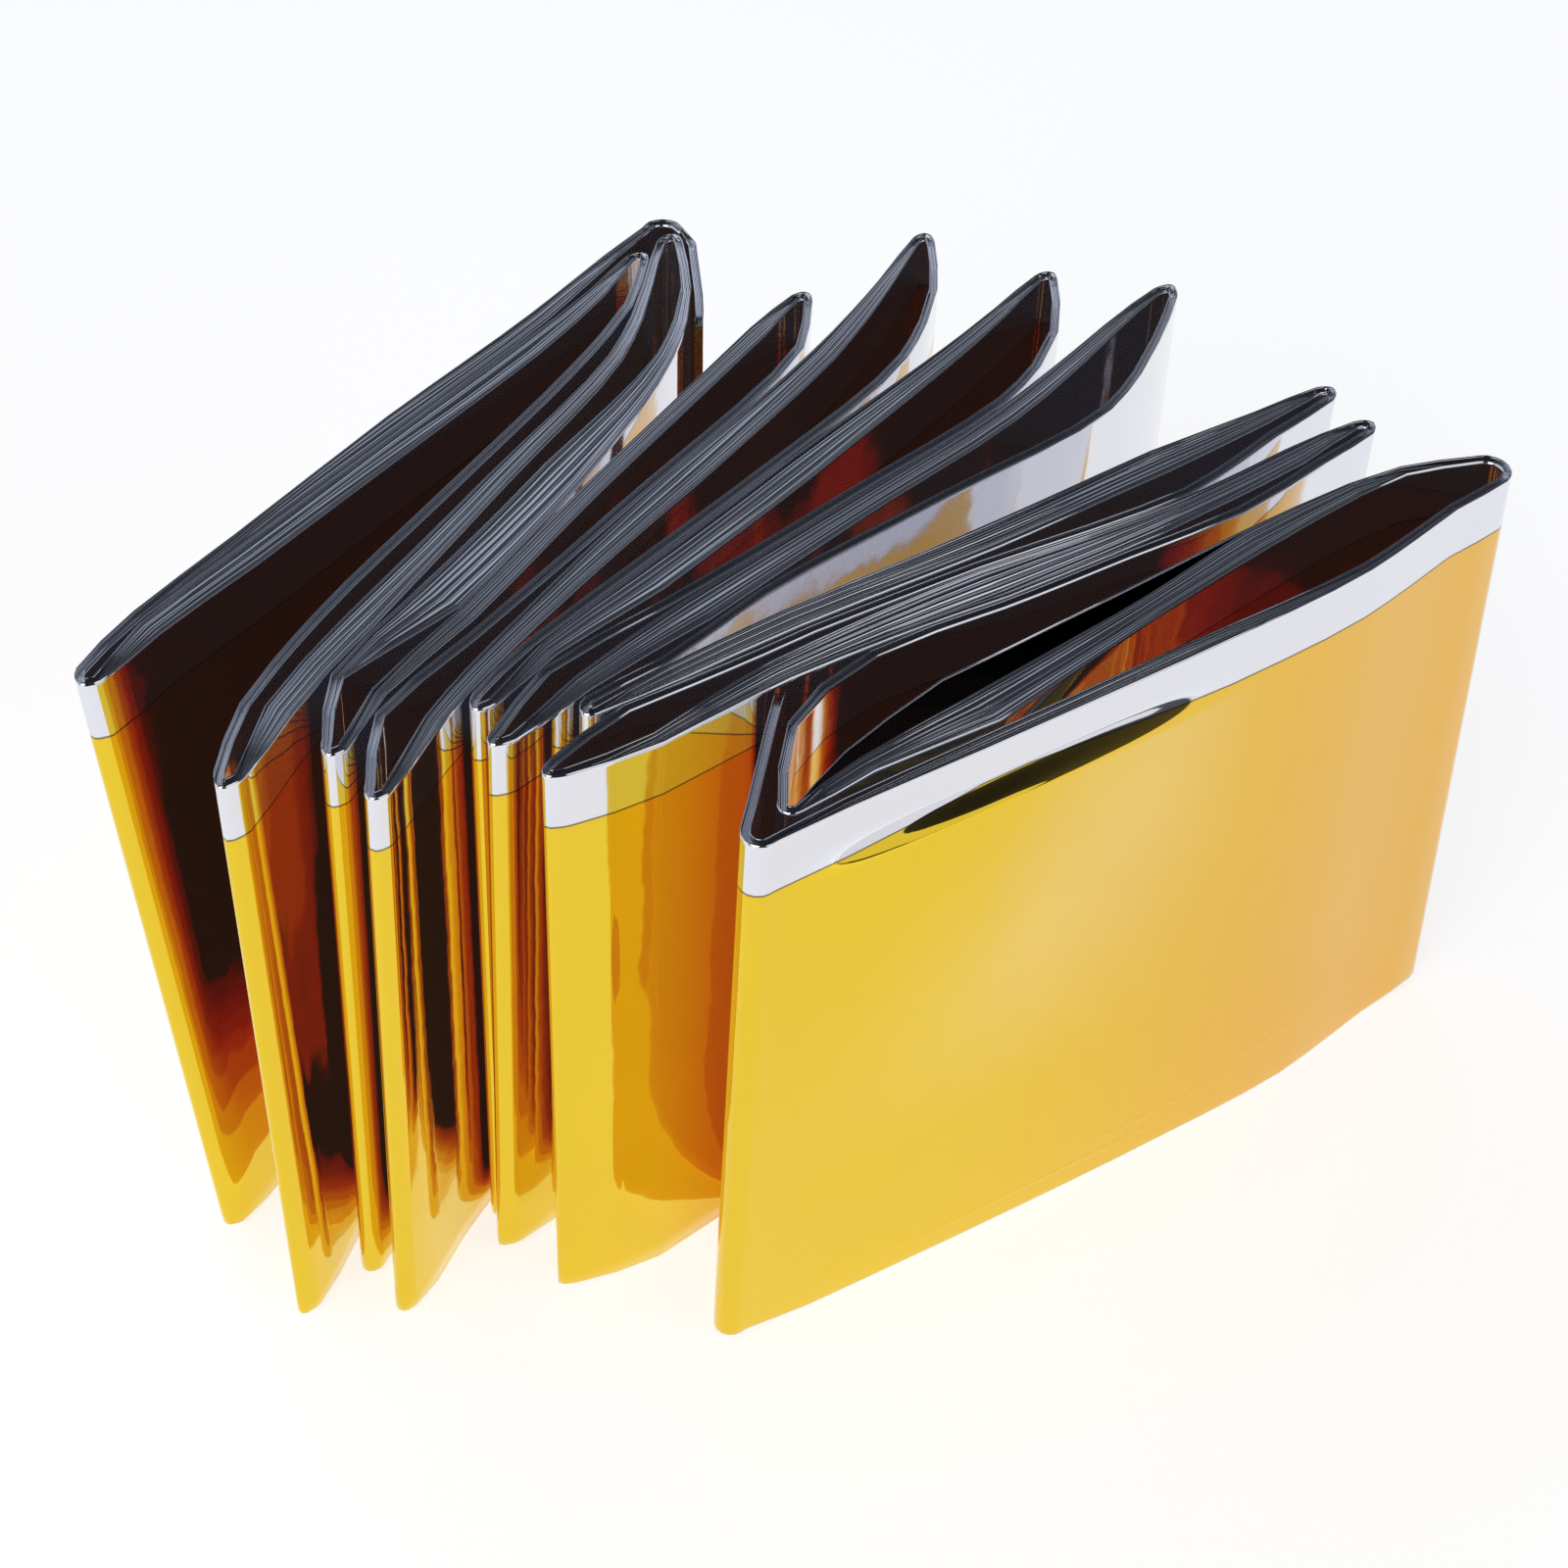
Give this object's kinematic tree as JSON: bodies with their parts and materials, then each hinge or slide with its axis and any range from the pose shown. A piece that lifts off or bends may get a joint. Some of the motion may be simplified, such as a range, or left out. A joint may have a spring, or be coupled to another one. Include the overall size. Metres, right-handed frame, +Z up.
{
  "type": "emergency foil blanket",
  "caption": "Rescue blanket of metallised film, pleated to a narrow strip and folded back and forth, standing on its edge as a loosely opened accordion.",
  "frame": {"origin": "middle of the outline on the surface that the folded blanket stands on", "axes": "+Z up along the strip's width, +X to the right of the picture, +Y away from its viewer"},
  "size_m": [0.156, 0.1176, 0.08],
  "materials": {
    "foil": "bright gold metallised film, silver on the back and along the edges"
  },
  "bodies": {
    "root": {"foil_blanket": "foil"}
  },
  "joints": []
}
